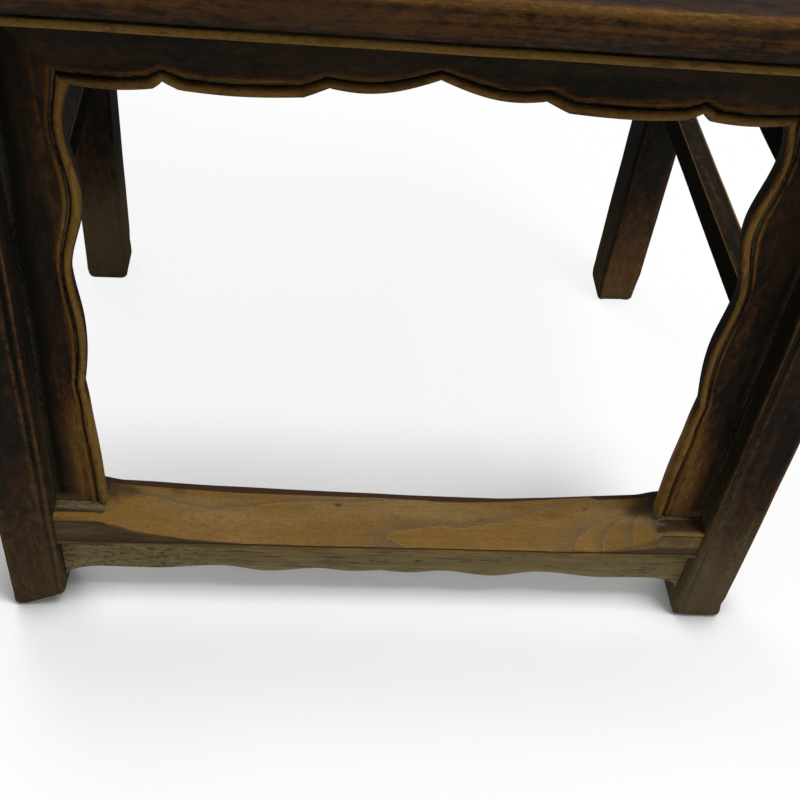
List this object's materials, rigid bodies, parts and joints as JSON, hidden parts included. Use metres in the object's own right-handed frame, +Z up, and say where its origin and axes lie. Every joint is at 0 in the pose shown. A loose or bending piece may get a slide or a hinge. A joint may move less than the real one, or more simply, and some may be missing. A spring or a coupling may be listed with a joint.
{
  "type": "yoke-back armchair",
  "caption": "Old lacquered yoke-back armchair with lobed front spandrels, a worn footrest, a curved splat and serpentine arms.",
  "frame": {"origin": "on the floor, in the middle of the chair's bounding box in plan", "axes": "+Z up, -Y to the front of the chair where the sitter's feet go, +X to the right as seen from the front"},
  "size_m": [0.6432, 0.5832, 1.1426],
  "materials": {
    "lacquer_dark": "near-black old lacquer over wood, worn to orange-brown on the arrises",
    "lacquer_brown": "dark brown old lacquer, thin and dusty near the floor",
    "worn_wood": "bare golden wood polished by feet",
    "dusty_wood": "grey-brown wood with old dirt"
  },
  "bodies": {
    "root": {"crest_rail": "lacquer_dark", "arm_left": "lacquer_dark", "arm_right": "lacquer_dark", "side_post_left": "lacquer_dark", "side_post_right": "lacquer_dark", "arm_bracket_left": "lacquer_dark", "arm_bracket_right": "lacquer_dark", "seat_rail_front": "lacquer_dark", "seat_rail_back": "lacquer_dark", "seat_rail_left": "lacquer_dark", "seat_rail_right": "lacquer_dark", "front_apron": "lacquer_dark", "side_apron_left": "lacquer_dark", "side_apron_right": "lacquer_dark", "back_apron": "lacquer_dark", "front_post_left": "lacquer_brown", "front_post_right": "lacquer_brown", "back_post_left": "lacquer_brown", "back_post_right": "lacquer_brown", "back_splat": "lacquer_brown", "seat_panel": "lacquer_brown", "seat_batten_left": "lacquer_brown", "seat_batten_right": "lacquer_brown", "front_spandrel_left": "lacquer_brown", "front_spandrel_right": "lacquer_brown", "side_stretcher_lower_left": "lacquer_brown", "side_stretcher_lower_right": "lacquer_brown", "side_stretcher_upper_left": "lacquer_brown", "side_stretcher_upper_right": "lacquer_brown", "back_stretcher": "lacquer_brown", "footrest": "worn_wood", "footrest_apron": "dusty_wood"}
  },
  "joints": []
}
